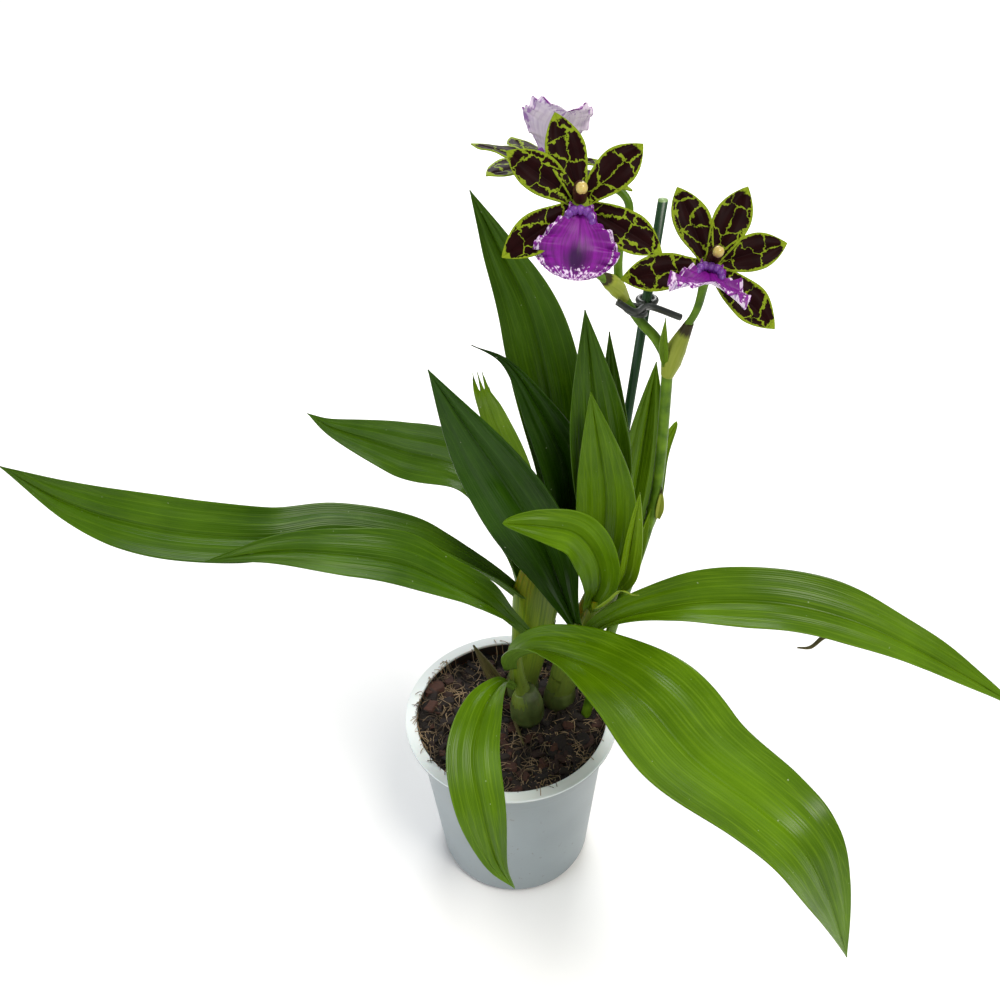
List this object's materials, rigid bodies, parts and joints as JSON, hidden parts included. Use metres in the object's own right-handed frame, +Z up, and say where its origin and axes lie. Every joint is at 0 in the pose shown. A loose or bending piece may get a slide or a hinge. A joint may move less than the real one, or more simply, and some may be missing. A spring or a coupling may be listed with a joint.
{
  "type": "zygopetalum orchid in a pot",
  "caption": "Zygopetalum orchid in flower in a plain plastic pot: pleated leaves on leafy shoots, a staked flower spike with mottled tepals and ruffled lips.",
  "frame": {"origin": "centre of the pot's underside, where it stands", "axes": "+Z up along the pot's axis; the front flowers face -Y; the front leaf reaches to +X and -Y"},
  "size_m": [0.4657, 0.2731, 0.4423],
  "materials": {
    "pot_grey": "moulded polypropylene",
    "mix_brown": "bark and peat mix",
    "bulb_green": "waxy plant skin",
    "sheath_green": "satin leaf sheath",
    "leaf_green": "satin pleated leaf",
    "spike_green": "smooth green stem",
    "tepal_green": "satin petal",
    "lip_violet": "velvety petal",
    "column_cream": "waxy",
    "stake_green": "extruded, satin",
    "clip_grey": "moulded"
  },
  "bodies": {
    "root": {"pot": "pot_grey", "growing_medium": "mix_brown", "pseudobulbs": "bulb_green", "shoot_left": "sheath_green", "shoot_right": "sheath_green", "shoot_front": "sheath_green", "leaf_front_broad": "leaf_green", "leaf_front_drooping": "leaf_green", "leaf_left_long": "leaf_green", "leaf_left_lower": "leaf_green", "leaf_back_left": "leaf_green", "leaf_left_upright": "leaf_green", "leaf_tall": "leaf_green", "leaf_tall_thin": "leaf_green", "leaf_back_torn": "leaf_green", "leaf_right_long": "leaf_green", "leaf_middle_front": "leaf_green", "leaf_middle_back": "leaf_green", "leaf_middle_far": "leaf_green", "leaf_right_back": "leaf_green", "leaf_right_small": "leaf_green", "leaf_curled": "leaf_green", "leaf_folded": "leaf_green", "flower_spike": "spike_green", "support_stake": "stake_green", "stem_clip": "clip_grey", "flower_front_tepals": "tepal_green", "flower_front_lip": "lip_violet", "flower_front_column": "column_cream", "flower_right_tepals": "tepal_green", "flower_right_lip": "lip_violet", "flower_right_column": "column_cream", "flower_back_tepals": "tepal_green", "flower_back_lip": "lip_violet", "flower_back_column": "column_cream"}
  },
  "joints": []
}
